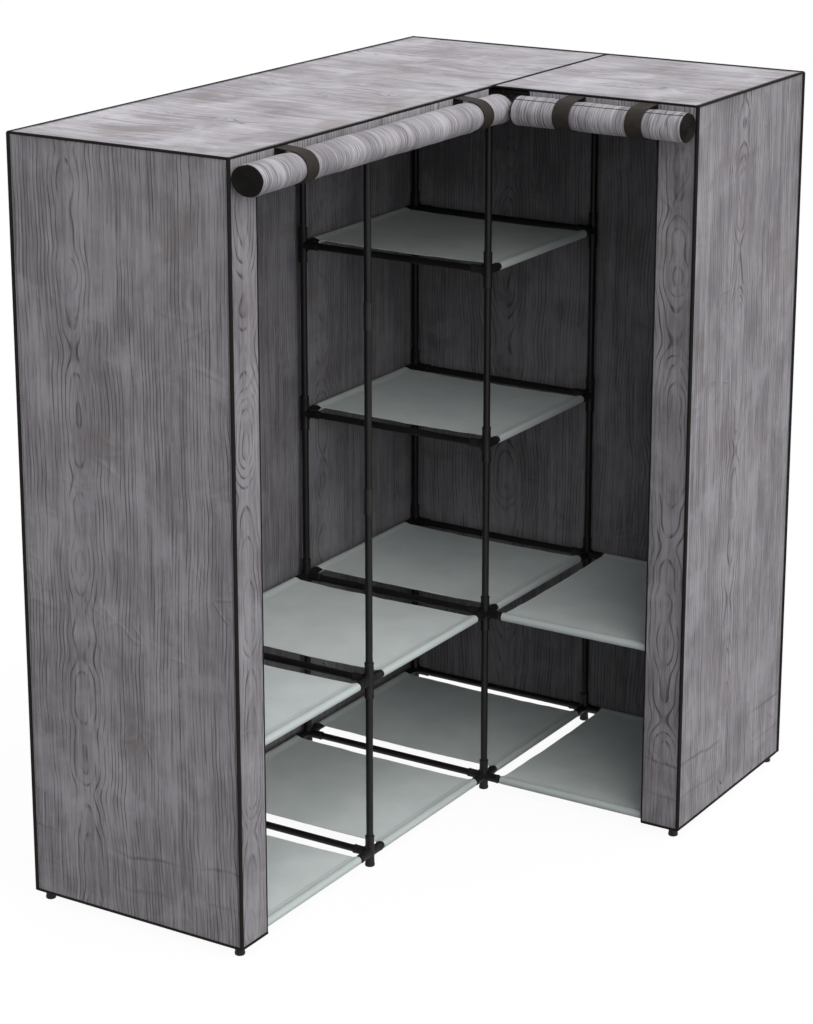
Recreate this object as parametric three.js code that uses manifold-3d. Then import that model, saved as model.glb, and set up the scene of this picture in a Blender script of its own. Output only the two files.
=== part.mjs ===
// Portable fabric wardrobe: an L-shaped frame of steel tubes in moulded connectors, with fabric shelves
// sleeved over the tubes, inside a printed fabric cover whose two front curtains are rolled up and strapped.
// Millimetres, +Z up, standing on z = 0. The long left wing lies along X at the back, the short right wing
// runs forward along -Y at the right, and both open towards the notch of the L.

import * as THREE from 'three';
import * as BufferGeometryUtils from 'three/addons/utils/BufferGeometryUtils.js';
import Module from 'manifold-3d';

const wasm = await Module();
wasm.setup();

// Overall sizes
const overall_height = 1690;
const bay_pitch = 503;
const post_inset = 20;
const left_wing_bays = 3;
const right_wing_bays = 2;
const storeys = 4;

// Clearances
const fit_gap = 0.3;
const cut_overrun = 5;

// Steel tubes
const tube_radius = 8;
const tube_wall = 1;
const tube_sides = 8;

// Moulded connectors and feet
const bottom_tube_height = 31.5;
const socket_wall = 2.2;
const socket_reach = 42;
const foot_flare = 1.2;
const foot_rim = 3;
const foot_taper = 6;
const rail_clip_length = 30;

// Fabric shelves
const shelf_cloth = 1.2;
const shelf_sag = 7;
const sag_steps = 8;

// Printed cover
const cover_cloth = 1.6;
const hem_height = 23.7;
const strip_width = 92;

// Rolled curtains, measured along the fronts from the inner corner
const curtain_cloth = 1.2;
const roll_drop = 40;
const roll_half_height = 33.5;
const roll_half_depth = 40;
const roll_edge = 5;
const roll_sides = 20;
const left_web_margin = 18;
const left_roll_margin = 42;
const right_web_margin = 94;
const roll_spacing = 6;

// Straps round the rolls
const strap_thickness = 1.6;
const strap_width = 40;
const strap_bite = 1;
const strap_ease = 14;
const strap_low_point = 24;
const strap_arc_steps = 14;
const left_inner_strap = 153;
const right_inner_strap = 215;

// Outer straps, measured from the strip beside the opening
const left_outer_strap = 80;
const right_outer_strap = 21;

// Places that follow from the sizes above
const wing_depth = bay_pitch + 2 * post_inset;
const left_length = left_wing_bays * bay_pitch + 2 * post_inset;
const right_length = right_wing_bays * bay_pitch + 2 * post_inset;
const x_right = left_length / 2;
const x_left = -left_length / 2;
const y_back = right_length / 2;
const y_front = -right_length / 2;
const left_front_y = y_back - wing_depth;
const right_front_x = x_right - wing_depth;
const left_front_length = left_length - wing_depth;
const right_front_length = right_length - wing_depth;
const socket_radius = tube_radius + fit_gap + socket_wall;
const socket_floor = socket_radius + socket_wall;
const tube_length = bay_pitch - 2 * (socket_floor + fit_gap);
const top_level = overall_height - cover_cloth - fit_gap - socket_radius;
const storey_height = (top_level - bottom_tube_height) / storeys;

const materials = {
  tube: new THREE.MeshStandardMaterial({ color: 0x1c1c1a, roughness: 0.45, metalness: 0.6 }),
  shelf: new THREE.MeshStandardMaterial({ color: 0x87918f, roughness: 0.85, metalness: 0 }),
  cover: new THREE.MeshStandardMaterial({ color: 0x8e8a8f, roughness: 0.9, metalness: 0 }),
  curtain: new THREE.MeshStandardMaterial({ color: 0xa9a7ac, roughness: 0.9, metalness: 0 }),
  strap: new THREE.MeshStandardMaterial({ color: 0x3d3b35, roughness: 0.8, metalness: 0 }),
};

const wardrobe = new THREE.Group();

function add(parent, name, geometry, material) {
  const mesh = new THREE.Mesh(geometry, material);
  mesh.name = name;
  parent.add(mesh);
  return mesh;
}

// Booleans

function to_manifold(geometry) {
  const bare = geometry.index ? geometry.toNonIndexed() : geometry.clone();
  bare.deleteAttribute('normal');
  bare.deleteAttribute('uv');
  const merged = BufferGeometryUtils.mergeVertices(bare);
  return new wasm.Manifold(new wasm.Mesh({
    numProp: 3,
    vertProperties: new Float32Array(merged.attributes.position.array),
    triVerts: new Uint32Array(merged.index.array),
  }));
}

function to_geometry(solid) {
  const mesh = solid.getMesh();
  const geometry = new THREE.BufferGeometry();
  geometry.setAttribute('position', new THREE.BufferAttribute(new Float32Array(mesh.vertProperties), 3));
  geometry.setIndex(new THREE.BufferAttribute(new Uint32Array(mesh.triVerts), 1));
  const flat = geometry.toNonIndexed();
  flat.computeVertexNormals();
  return flat;
}

// Joins the solids, then takes the cutters out
function carve(solids, cutters = []) {
  let result = wasm.Manifold.union(solids.map(to_manifold));
  if (cutters.length > 0) {
    result = result.subtract(wasm.Manifold.union(cutters.map(to_manifold)));
  }
  return to_geometry(result);
}

// Round rods between two points

function rod(radius, start, end) {
  const from = new THREE.Vector3(...start);
  const to = new THREE.Vector3(...end);
  const geometry = new THREE.CylinderGeometry(radius, radius, from.distanceTo(to), tube_sides);
  const turn = new THREE.Quaternion().setFromUnitVectors(
    new THREE.Vector3(0, 1, 0), to.clone().sub(from).normalize());
  geometry.applyQuaternion(turn);
  geometry.translate(...from.add(to).multiplyScalar(1 / 2).toArray());
  return geometry;
}

function hollow_tube(length) {
  const inner = tube_radius - tube_wall;
  return carve(
    [rod(tube_radius, [-length / 2, 0, 0], [length / 2, 0, 0])],
    [rod(inner, [-length / 2 - cut_overrun, 0, 0], [length / 2 + cut_overrun, 0, 0])]);
}

// The grid of posts: a counts bays along the long wing and b along the short one, both from the back corner

const post_x = (a) => x_right - post_inset - a * bay_pitch;
const post_y = (b) => y_back - post_inset - b * bay_pitch;
const level_z = (level) => bottom_tube_height + level * storey_height;

const posts = [
  { name: 'corner_post', a: 0, b: 0 },
  { name: 'left_back_inner_post', a: 1, b: 0 },
  { name: 'left_back_middle_post', a: 2, b: 0 },
  { name: 'left_back_end_post', a: 3, b: 0 },
  { name: 'right_back_inner_post', a: 0, b: 1 },
  { name: 'inner_corner_post', a: 1, b: 1 },
  { name: 'left_front_middle_post', a: 2, b: 1 },
  { name: 'left_front_end_post', a: 3, b: 1 },
  { name: 'right_back_end_post', a: 0, b: 2 },
  { name: 'right_front_end_post', a: 1, b: 2 },
];

// A bay's shelf hangs on two tubes that run along X, or along Y where rods_along_y is set
const bays = [
  { name: 'corner', a: 0, b: 0, rods_along_y: false },
  { name: 'left_middle', a: 1, b: 0, rods_along_y: false },
  { name: 'left_end', a: 2, b: 0, rods_along_y: false },
  { name: 'right_end', a: 0, b: 1, rods_along_y: true },
];
const level_names = ['bottom', 'middle', 'third', 'fourth'];
const all_bay_levels = [0, 1, storeys];
const bays_at = (level) => (all_bay_levels.includes(level) ? bays : bays.slice(0, 1));

// Every tube place of a bay, as its first post and the step to its second
function tube_places(bay) {
  return [
    { a: bay.a, b: bay.b, da: 1, db: 0 },
    { a: bay.a, b: bay.b + 1, da: 1, db: 0 },
    { a: bay.a, b: bay.b, da: 0, db: 1 },
    { a: bay.a + 1, b: bay.b, da: 0, db: 1 },
  ];
}

// The directions in which a post's connector has arms at a level
function arm_directions(post, level) {
  const found = new Map();
  for (const place of bays_at(level).flatMap(tube_places)) {
    if (place.a === post.a && place.b === post.b) {
      found.set(`${-place.da},${-place.db}`, [-place.da, -place.db]);
    }
    if (place.a + place.da === post.a && place.b + place.db === post.b) {
      found.set(`${place.da},${place.db}`, [place.da, place.db]);
    }
  }
  return [...found.values()];
}

const reach = (x, y, z, [dx, dy], distance) => [x + dx * distance, y + dy * distance, z];

function arm(x, y, z, direction) {
  return rod(socket_radius, [x, y, z], reach(x, y, z, direction, socket_reach));
}

function arm_bore(x, y, z, direction) {
  return rod(tube_radius + fit_gap,
    reach(x, y, z, direction, socket_floor), reach(x, y, z, direction, socket_reach + cut_overrun));
}

// Posts: foot, tube and connectors with blind sockets

function post_geometry(post) {
  const x = post_x(post.a);
  const y = post_y(post.b);
  const post_top = top_level - socket_floor - fit_gap;
  const solids = [rod(tube_radius, [x, y, foot_rim], [x, y, post_top])];
  const cutters = [
    rod(tube_radius - tube_wall, [x, y, bottom_tube_height + socket_radius], [x, y, post_top + cut_overrun]),
  ];
  const foot = new THREE.LatheGeometry([
    new THREE.Vector2(0, 0),
    new THREE.Vector2(socket_radius + foot_flare, 0),
    new THREE.Vector2(socket_radius + foot_flare, foot_rim),
    new THREE.Vector2(socket_radius, foot_rim + foot_taper),
    new THREE.Vector2(socket_radius, bottom_tube_height + socket_reach),
    new THREE.Vector2(0, bottom_tube_height + socket_reach),
  ], tube_sides);
  foot.rotateX(Math.PI / 2);
  foot.translate(x, y, 0);
  solids.push(foot);
  for (let level = 0; level < storeys; level += 1) {
    const directions = arm_directions(post, level);
    const z = level_z(level);
    if (level > 0 && directions.length > 0) {
      solids.push(rod(socket_radius, [x, y, z - socket_reach], [x, y, z + socket_reach]));
    }
    for (const direction of directions) {
      solids.push(arm(x, y, z, direction));
      cutters.push(arm_bore(x, y, z, direction));
    }
  }
  return carve(solids, cutters);
}

for (const post of posts) {
  add(wardrobe, post.name, post_geometry(post), materials.tube);
}

// Bare cross tubes: those that no shelf is sleeved on

const cross_tubes = [
  { name: 'left_end_cross_tube', a: 3, b: 0, da: 0, db: 1 },
  { name: 'left_middle_cross_tube', a: 2, b: 0, da: 0, db: 1 },
  { name: 'corner_left_cross_tube', a: 1, b: 0, da: 0, db: 1 },
  { name: 'corner_back_cross_tube', a: 0, b: 0, da: 0, db: 1 },
  { name: 'right_end_cross_tube', a: 0, b: 2, da: 1, db: 0 },
];
const plain_tube = hollow_tube(tube_length);

function place_on(mesh, place, z) {
  mesh.position.set(post_x(place.a + place.da / 2), post_y(place.b + place.db / 2), z);
  mesh.rotation.z = place.db * Math.PI / 2;
}

for (let level = 0; level < storeys; level += 1) {
  const in_use = bays_at(level).flatMap(tube_places);
  for (const tube of cross_tubes) {
    const used = in_use.some((p) => p.a === tube.a && p.b === tube.b && p.da === tube.da && p.db === tube.db);
    if (used) {
      const mesh = add(wardrobe, `${level_names[level]}_${tube.name}`, plain_tube, materials.tube);
      place_on(mesh, tube, level_z(level));
    }
  }
}

// Top frame: three rails that hold the top connectors, the cross tubes between them and the hanging rails

function top_hub(a, b, arms) {
  const x = post_x(a);
  const y = post_y(b);
  return {
    solids: [
      rod(socket_radius, [x, y, top_level], [x, y, top_level - socket_reach]),
      rod(socket_radius, [x - socket_radius, y, top_level], [x + socket_radius, y, top_level]),
      ...arms.map((direction) => arm(x, y, top_level, direction)),
    ],
    cutters: [
      rod(tube_radius + fit_gap,
        [x, y, top_level - socket_reach - cut_overrun], [x, y, top_level - socket_floor]),
    ],
  };
}

function top_bores(a, b, directions) {
  return directions.map((direction) => arm_bore(post_x(a), post_y(b), top_level, direction));
}

function rail_clip(x, y, along, directions) {
  const half = rail_clip_length / 2;
  return {
    solids: [
      rod(socket_radius, reach(x, y, top_level, along, -half), reach(x, y, top_level, along, half)),
      ...directions.map((direction) => arm(x, y, top_level, direction)),
    ],
    cutters: directions.map((direction) => arm_bore(x, y, top_level, direction)),
  };
}

const west = [-1, 0];
const east = [1, 0];
const south = [0, -1];
const north = [0, 1];
const rail_row = post_y(1 / 2);
const rail_column = post_x(1 / 2);

function top_back_rail() {
  const last = left_wing_bays;
  const hubs = Array.from({ length: last + 1 }, (_, a) => top_hub(a, 0, [south]));
  return carve(
    [rod(tube_radius, [post_x(last), post_y(0), top_level], [post_x(0), post_y(0), top_level]),
      ...hubs.flatMap((hub) => hub.solids)],
    [...hubs.flatMap((hub) => hub.cutters),
      ...hubs.flatMap((hub, a) => top_bores(a, 0, [south]))]);
}

function top_front_rail() {
  const last = left_wing_bays;
  const sides = (a) => (a < 2 ? [north, south] : [north]);
  const hubs = Array.from({ length: last + 1 }, (_, a) => top_hub(a, 1, sides(a)));
  const clip = rail_clip(rail_column, post_y(1), east, [south]);
  return carve(
    [rod(tube_radius, [post_x(last), post_y(1), top_level], [post_x(0), post_y(1), top_level]),
      ...hubs.flatMap((hub) => hub.solids), ...clip.solids],
    [...hubs.flatMap((hub) => hub.cutters),
      ...hubs.flatMap((hub, a) => top_bores(a, 1, sides(a))), ...clip.cutters]);
}

function top_right_frame() {
  const hubs = [0, 1].map((a) => top_hub(a, 2, [north]));
  const clip = rail_clip(rail_column, post_y(2), east, [north]);
  const leg = (a) => rod(tube_radius, [post_x(a), post_y(2), top_level],
    [post_x(a), post_y(1) - socket_floor - fit_gap, top_level]);
  return carve(
    [rod(tube_radius, [post_x(1), post_y(2), top_level], [post_x(0), post_y(2), top_level]),
      leg(0), leg(1), ...hubs.flatMap((hub) => hub.solids), ...clip.solids],
    [...hubs.flatMap((hub) => hub.cutters), ...clip.cutters]);
}

// A top cross tube of the long wing, with the clips that hold the ends of the hanging rails
function top_cross_tube(a, directions) {
  const x = post_x(a);
  const tube = [[x, rail_row - tube_length / 2, top_level], [x, rail_row + tube_length / 2, top_level]];
  const clip = rail_clip(x, rail_row, north, directions);
  return carve([rod(tube_radius, ...tube), ...clip.solids], clip.cutters);
}

add(wardrobe, 'top_back_rail', top_back_rail(), materials.tube);
add(wardrobe, 'top_front_rail', top_front_rail(), materials.tube);
add(wardrobe, 'top_right_frame', top_right_frame(), materials.tube);
add(wardrobe, 'top_left_end_cross_tube', top_cross_tube(3, [east]), materials.tube);
add(wardrobe, 'top_left_middle_cross_tube', top_cross_tube(2, [east, west]), materials.tube);
add(wardrobe, 'top_corner_left_cross_tube', top_cross_tube(1, [west]), materials.tube);
place_on(add(wardrobe, 'top_corner_back_cross_tube', plain_tube, materials.tube), cross_tubes[3], top_level);

// Hanging rails, one in each bay with no upper shelves
const rails = [
  { name: 'left_end_hanging_rail', a: 2, b: 1 / 2, da: 1, db: 0 },
  { name: 'left_middle_hanging_rail', a: 1, b: 1 / 2, da: 1, db: 0 },
  { name: 'right_hanging_rail', a: 1 / 2, b: 1, da: 0, db: 1 },
];
for (const rail of rails) {
  place_on(add(wardrobe, rail.name, plain_tube, materials.tube), rail, top_level);
}

// Stands an outline drawn in Y and Z up and runs it along X
function extrude_along_x(shape, length, steps) {
  const geometry = new THREE.ExtrudeGeometry(shape, { depth: length, bevelEnabled: false, curveSegments: steps });
  const turn = new THREE.Matrix4().makeBasis(
    new THREE.Vector3(0, 1, 0), new THREE.Vector3(0, 0, 1), new THREE.Vector3(1, 0, 0));
  geometry.applyMatrix4(turn);
  geometry.translate(-length / 2, 0, 0);
  return geometry;
}

// Fabric shelves: a sagging sheet whose two side sleeves hold the tubes that carry it

function shelf_geometry() {
  const sleeve_radius = tube_radius + shelf_cloth;
  const width = bay_pitch - 2 * (socket_reach + fit_gap);
  const half = bay_pitch / 2;
  const outline = new THREE.Shape();
  outline.moveTo(-half, sleeve_radius);
  outline.lineTo(-half, tube_radius);
  outline.quadraticCurveTo(0, tube_radius - 2 * shelf_sag, half, tube_radius);
  outline.lineTo(half, sleeve_radius);
  outline.quadraticCurveTo(0, sleeve_radius - 2 * shelf_sag, -half, sleeve_radius);
  const solids = [extrude_along_x(outline, width, sag_steps)];
  for (const y of [-half, half]) {
    solids.push(rod(sleeve_radius, [-width / 2, y, 0], [width / 2, y, 0]));
    solids.push(rod(tube_radius, [-tube_length / 2, y, 0], [tube_length / 2, y, 0]));
  }
  return carve(solids);
}

const shelf = shelf_geometry();
for (let level = 0; level < storeys; level += 1) {
  for (const bay of bays_at(level)) {
    const mesh = add(wardrobe, `${level_names[level]}_shelf_${bay.name}`, shelf, materials.shelf);
    mesh.position.set(post_x(bay.a + 1 / 2), post_y(bay.b + 1 / 2), level_z(level));
    mesh.rotation.z = bay.rods_along_y ? Math.PI / 2 : 0;
  }
}

// Cover: two top panels, two back walls, two end panels and the strip beside each opening

function panel(name, low, high) {
  const size = high.map((value, axis) => value - low[axis]);
  const mesh = add(wardrobe, name, new THREE.BoxGeometry(...size), materials.cover);
  mesh.position.set(...low.map((value, axis) => value + size[axis] / 2));
}

const under_top = overall_height - cover_cloth - fit_gap;
panel('left_top_panel',
  [x_left, left_front_y, overall_height - cover_cloth],
  [x_right, y_back, overall_height]);
panel('right_top_panel',
  [right_front_x, y_front, overall_height - cover_cloth],
  [x_right, left_front_y - fit_gap, overall_height]);
panel('left_back_wall',
  [x_left, y_back - cover_cloth, hem_height],
  [x_right, y_back, under_top]);
panel('right_back_wall',
  [x_right - cover_cloth, y_front, hem_height],
  [x_right, y_back - cover_cloth - fit_gap, under_top]);
panel('left_end_panel',
  [x_left, left_front_y, hem_height],
  [x_left + cover_cloth, y_back - cover_cloth - fit_gap, under_top]);
panel('right_end_panel',
  [right_front_x, y_front, hem_height],
  [x_right - cover_cloth - fit_gap, y_front + cover_cloth, under_top]);
panel('left_front_strip',
  [x_left + cover_cloth + fit_gap, left_front_y, hem_height],
  [x_left + strip_width, left_front_y + cover_cloth, under_top]);
panel('right_front_strip',
  [right_front_x, y_front + cover_cloth + fit_gap, hem_height],
  [right_front_x + cover_cloth, y_front + strip_width, under_top]);

// Curtains, in a frame whose X runs along the front from the inner corner and whose Y points into the wing.
// Depths below are how far a piece stands out in front of the cover, so they count along -Y.

const roll_z = overall_height - roll_drop;
const roll_depth = fit_gap + curtain_cloth + fit_gap + roll_half_depth;
const web_top = under_top - strap_thickness - fit_gap;

function web_geometry(start, end) {
  const geometry = new THREE.BoxGeometry(end - start, curtain_cloth, web_top - roll_z);
  geometry.translate((start + end) / 2, -fit_gap - curtain_cloth / 2, (web_top + roll_z) / 2);
  return geometry;
}

// The roll is turned round its own axis, drawn in under each strap, and then flattened to its oval
function roll_geometry(start, end, straps) {
  const half = strap_width / 2 + fit_gap;
  const points = [
    new THREE.Vector2(0, start),
    new THREE.Vector2(roll_half_height - roll_edge, start),
    new THREE.Vector2(roll_half_height, start + roll_edge),
  ];
  for (const strap of straps) {
    points.push(new THREE.Vector2(roll_half_height, strap - half - strap_ease));
    points.push(new THREE.Vector2(roll_half_height - strap_bite, strap - half));
    points.push(new THREE.Vector2(roll_half_height - strap_bite, strap + half));
    points.push(new THREE.Vector2(roll_half_height, strap + half + strap_ease));
  }
  points.push(new THREE.Vector2(roll_half_height, end - roll_edge));
  points.push(new THREE.Vector2(roll_half_height - roll_edge, end));
  points.push(new THREE.Vector2(0, end));
  const geometry = new THREE.LatheGeometry(points, roll_sides);
  geometry.rotateZ(-Math.PI / 2);
  geometry.scale(1, roll_half_depth / roll_half_height, 1);
  geometry.translate(0, -roll_depth, roll_z);
  return geometry;
}

// The angle at which a line from a point touches an oval, on the side that turn picks
function tangent_angle(point_y, point_z, centre_y, centre_z, half_y, half_z, turn) {
  const p = (point_y - centre_y) / half_y;
  const q = (point_z - centre_z) / half_z;
  return Math.atan2(q, p) + turn * Math.acos(1 / Math.hypot(p, q));
}

// One loop of the strap: down behind the curtain, then tight round the front of the roll
function strap_loop(offset) {
  const half_y = (roll_half_height - strap_bite) * roll_half_depth / roll_half_height + fit_gap + offset;
  const half_z = roll_half_height - strap_bite + fit_gap + offset;
  const top = web_top + fit_gap + offset;
  const low = roll_z - strap_low_point - offset;
  const first = tangent_angle(offset, top, -roll_depth, roll_z, half_y, half_z, 1);
  const last = tangent_angle(offset, low, -roll_depth, roll_z, half_y, half_z, -1) + 2 * Math.PI;
  const points = [new THREE.Vector2(offset, low), new THREE.Vector2(offset, top)];
  for (let step = 0; step <= strap_arc_steps; step += 1) {
    const angle = first + (last - first) * step / strap_arc_steps;
    points.push(new THREE.Vector2(-roll_depth + half_y * Math.cos(angle), roll_z + half_z * Math.sin(angle)));
  }
  return points;
}

function strap_geometry() {
  const shape = new THREE.Shape(strap_loop(strap_thickness));
  shape.holes.push(new THREE.Path(strap_loop(0)));
  return extrude_along_x(shape, strap_width, strap_arc_steps);
}

const strap = strap_geometry();

function add_curtain(side, turn, web, roll, straps) {
  const front = new THREE.Group();
  front.position.set(right_front_x, left_front_y, 0);
  front.rotation.z = turn;
  wardrobe.add(front);
  add(front, `${side}_curtain_web`, web_geometry(...web), materials.curtain);
  add(front, `${side}_curtain_roll`, roll_geometry(...roll, straps), materials.curtain);
  for (const [index, place] of straps.entries()) {
    add(front, `${side}_strap_${index + 1}`, strap, materials.strap).position.x = place;
  }
}

add_curtain('left', 0,
  [-left_front_length, -left_web_margin],
  [-left_front_length, -left_roll_margin],
  [-left_front_length + strip_width + left_outer_strap, -left_inner_strap]);
add_curtain('right', -Math.PI / 2,
  [right_web_margin, right_front_length],
  [roll_depth + roll_half_depth + roll_spacing, right_front_length],
  [right_inner_strap, right_front_length - strip_width - right_outer_strap]);

export default wardrobe;
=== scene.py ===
import math

import bmesh
import bpy
import numpy as np
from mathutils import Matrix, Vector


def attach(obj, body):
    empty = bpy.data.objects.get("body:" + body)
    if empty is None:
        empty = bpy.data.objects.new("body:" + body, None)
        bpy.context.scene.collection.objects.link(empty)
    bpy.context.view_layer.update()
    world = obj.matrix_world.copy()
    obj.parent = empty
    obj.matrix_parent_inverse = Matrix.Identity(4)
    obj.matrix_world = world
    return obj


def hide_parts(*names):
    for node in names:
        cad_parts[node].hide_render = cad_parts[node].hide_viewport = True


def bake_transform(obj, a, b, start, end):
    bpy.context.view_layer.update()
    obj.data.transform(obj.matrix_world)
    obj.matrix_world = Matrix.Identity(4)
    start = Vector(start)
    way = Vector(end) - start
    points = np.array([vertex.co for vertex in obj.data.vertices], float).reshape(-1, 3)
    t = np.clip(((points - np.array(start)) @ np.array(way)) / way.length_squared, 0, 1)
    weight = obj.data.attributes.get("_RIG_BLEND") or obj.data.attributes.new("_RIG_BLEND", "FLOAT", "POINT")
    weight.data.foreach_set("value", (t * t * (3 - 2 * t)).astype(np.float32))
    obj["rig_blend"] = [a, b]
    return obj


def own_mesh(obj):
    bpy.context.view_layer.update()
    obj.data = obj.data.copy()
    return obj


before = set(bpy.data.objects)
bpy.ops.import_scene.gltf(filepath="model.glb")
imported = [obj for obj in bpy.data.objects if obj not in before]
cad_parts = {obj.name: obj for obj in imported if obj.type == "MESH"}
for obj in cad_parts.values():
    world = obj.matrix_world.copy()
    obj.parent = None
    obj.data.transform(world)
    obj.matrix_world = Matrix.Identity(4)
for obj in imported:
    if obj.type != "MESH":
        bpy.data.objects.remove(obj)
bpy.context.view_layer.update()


# ---------------------------------------------------------------- Camera
# It stands in front of the open notch of the L, a little above the wardrobe's top, and looks down
# along the diagonal of the corner, as the photograph does.
looks_down = 15.745
turned_from_y = -58.10


def new_object(name, data, *materials):
    made = bpy.data.objects.new(name, data)
    for material in materials:
        data.materials.append(material)
    bpy.context.scene.collection.objects.link(made)
    return made


camera_data = bpy.data.cameras.new("camera")
camera_data.sensor_width = 36
camera_data.lens = 97.23
camera_data.shift_y = -0.11
camera = new_object("camera", camera_data)
camera.location = (-5.0228, -3.0663, 2.6819)
camera.rotation_euler = (math.radians(90 - looks_down), 0, math.radians(turned_from_y))
bpy.context.scene.camera = camera


# ---------------------------------------------------------------- Floor and light
# A plain pale studio floor that keeps a soft shadow, an even pale surround, a large soft lamp overhead
# and a second, lower one before the long wing, so that the top is the lightest face, the left end the
# darkest, and some light reaches the shelves. The walls and strips are also darkened by painted shade in
# their fabric.
class Wiring:
    """A node tree and short ways to fill it. An input takes a value or the socket that feeds it."""

    def __init__(self, tree):
        self.tree = tree
        tree.nodes.clear()

    def put(self, node, name, value):
        if isinstance(value, bpy.types.NodeSocket):
            self.tree.links.new(value, node.inputs[name])
        else:
            node.inputs[name].default_value = value

    def node(self, kind, inputs=None, **settings):
        """The outputs of a new node."""
        node = self.tree.nodes.new(kind)
        for name, value in settings.items():
            setattr(node, name, value)
        for name, value in (inputs or {}).items():
            self.put(node, name, value)
        return node.outputs

    def maths(self, operation, first, *others):
        """A sum on one value, or on several taken in turn."""
        for other in others or (None,):
            inputs = {0: first} if other is None else {0: first, 1: other}
            first = self.node("ShaderNodeMath", inputs, operation=operation)[0]
        return first

    def times(self, *values):
        return self.maths("MULTIPLY", *values)


def seen_as_background(wiring):
    """1 where the camera, a reflection or glass looks straight at this surface."""
    path = wiring.node("ShaderNodeLightPath")
    return wiring.maths("MAXIMUM", *(
        path[f"Is {ray} Ray"] for ray in ("Camera", "Glossy", "Transmission")))


bpy.context.scene.view_settings.view_transform = "Standard"
white = (1, 1, 1, 1)
world = bpy.data.worlds.new("surround")
world.use_nodes = True
sky = Wiring(world.node_tree)
sky.node("ShaderNodeOutputWorld", {"Surface": sky.node("ShaderNodeMixShader", {
    0: seen_as_background(sky),
    1: sky.node("ShaderNodeBackground", {"Color": (0.98, 0.985, 1, 1), "Strength": 0.6})[0],
    2: sky.node("ShaderNodeBackground", {"Color": white, "Strength": 1})[0]})[0]})
bpy.context.scene.world = world

floor_half = 40
floor_material = bpy.data.materials.new("pale_floor")
floor_material.use_nodes = True
ground = Wiring(floor_material.node_tree)
ground.node("ShaderNodeOutputMaterial", {"Surface": ground.node("ShaderNodeMixShader", {
    0: ground.times(seen_as_background(ground), 0.84),
    1: ground.node("ShaderNodeBsdfDiffuse", {"Color": (0.35, 0.35, 0.35, 1)})[0],
    2: ground.node("ShaderNodeEmission", {"Color": white, "Strength": 1.13})[0]})[0]})
floor_mesh = bpy.data.meshes.new("floor")
floor_mesh.from_pydata([(x * floor_half, y * floor_half, 0) for x, y in (
    (-1, -1), (1, -1), (1, 1), (-1, 1))], [], [(0, 1, 2, 3)])
floor = new_object("floor", floor_mesh, floor_material)

for lamp_name, strength, width, tilt, turn in (
        ("overhead_lamp", 0.6, 35, 14, 25), ("front_lamp", 2.05, 80, 59, -16)):
    lamp_data = bpy.data.lights.new(lamp_name, "SUN")
    lamp_data.energy = strength
    lamp_data.angle = math.radians(width)
    lamp = new_object(lamp_name, lamp_data)
    lamp.rotation_euler = (math.radians(tilt), 0, math.radians(turn))


# ---------------------------------------------------------------- Steel tubes
# Thin-walled steel tube, 16 mm across, powder coated black. The posts are storey-high lengths, and where
# a post passes a storey without a connector, two lengths meet in a short push-on sleeve.
bay_pitch = 0.503
post_inset = 0.020
x_right = 0.7745
y_back = 0.523
tube_radius = 0.008
tube_gap = 0.0004
foot_floor = 0.006
bottom_level = 0.0315
top_level = 1.6776
storeys = 4
socket_reach = 0.042
socket_floor = 0.0127
joint_sleeve_half = 0.029
joint_sleeve_rim = 0.0015
joint_sleeve_radius = 0.0093
bare_tube_end_in = 0.028


def post_x(a):
    return x_right - post_inset - a * bay_pitch


def post_y(b):
    return y_back - post_inset - b * bay_pitch


def level_z(level):
    return bottom_level + level * (top_level - bottom_level) / storeys


def settled(piece):
    """The piece with its modifiers worked into a plain mesh."""
    bpy.context.view_layer.update()
    graph = bpy.context.evaluated_depsgraph_get()
    mesh = bpy.data.meshes.new_from_object(piece.evaluated_get(graph))
    mesh.name = piece.name
    for leftover in [layer for layer in mesh.attributes if layer.name.startswith(".fk")]:
        mesh.attributes.remove(leftover)
    old, name = piece.data, piece.name
    bpy.data.objects.remove(piece)
    if old.users == 0:
        bpy.data.meshes.remove(old)
    return new_object(name, mesh)


def smooth_but(piece, degrees):
    """Smooth shading that stays crisp at edges sharper than that."""
    piece.data.shade_smooth()
    piece.data.set_sharp_from_angle(angle=math.radians(degrees))
    return piece


def fixed(piece, cad_name=None):
    """A piece that stays with the standing wardrobe, and may stand for a CAD node."""
    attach(piece, "wardrobe")
    if cad_name:
        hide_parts(cad_name)
    return piece


class Pattern(Wiring):
    """Wiring that draws colours and relief, or shapes, and ends in a node of its own."""

    def __setitem__(self, name, value):
        self.put(self.end, name, value)

    def plus(self, *values):
        return self.maths("ADD", *values)

    def minus(self, first, second):
        return self.maths("SUBTRACT", first, second)

    def noise(self, vector, scale, detail=2.0, roughness=0.5, **more):
        return self.node("ShaderNodeTexNoise", {
            "Vector": vector, "Scale": scale, "Detail": detail, "Roughness": roughness, **more})["Fac"]

    def spread(self, value, low, high, to_low=0.0, to_high=1.0, kind="SMOOTHSTEP"):
        """The value's range low to high spread over another range."""
        return self.node("ShaderNodeMapRange", {
            "Value": value, "From Min": low, "From Max": high, "To Min": to_low, "To Max": to_high},
            interpolation_type=kind)["Result"]

    def blend(self, share, first, second):
        return self.node("ShaderNodeMix", {0: share, 6: first, 7: second}, data_type="RGBA")[2]

    def bump(self, height, strength, distance, **more):
        return self.node("ShaderNodeBump", {
            "Height": height, "Strength": strength, "Distance": distance, **more})["Normal"]

    def using(self, recipe, inputs):
        """The outputs of a recipe placed here with its own values."""
        return self.node("ShaderNodeGroup", inputs, node_tree=recipe.tree)


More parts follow.
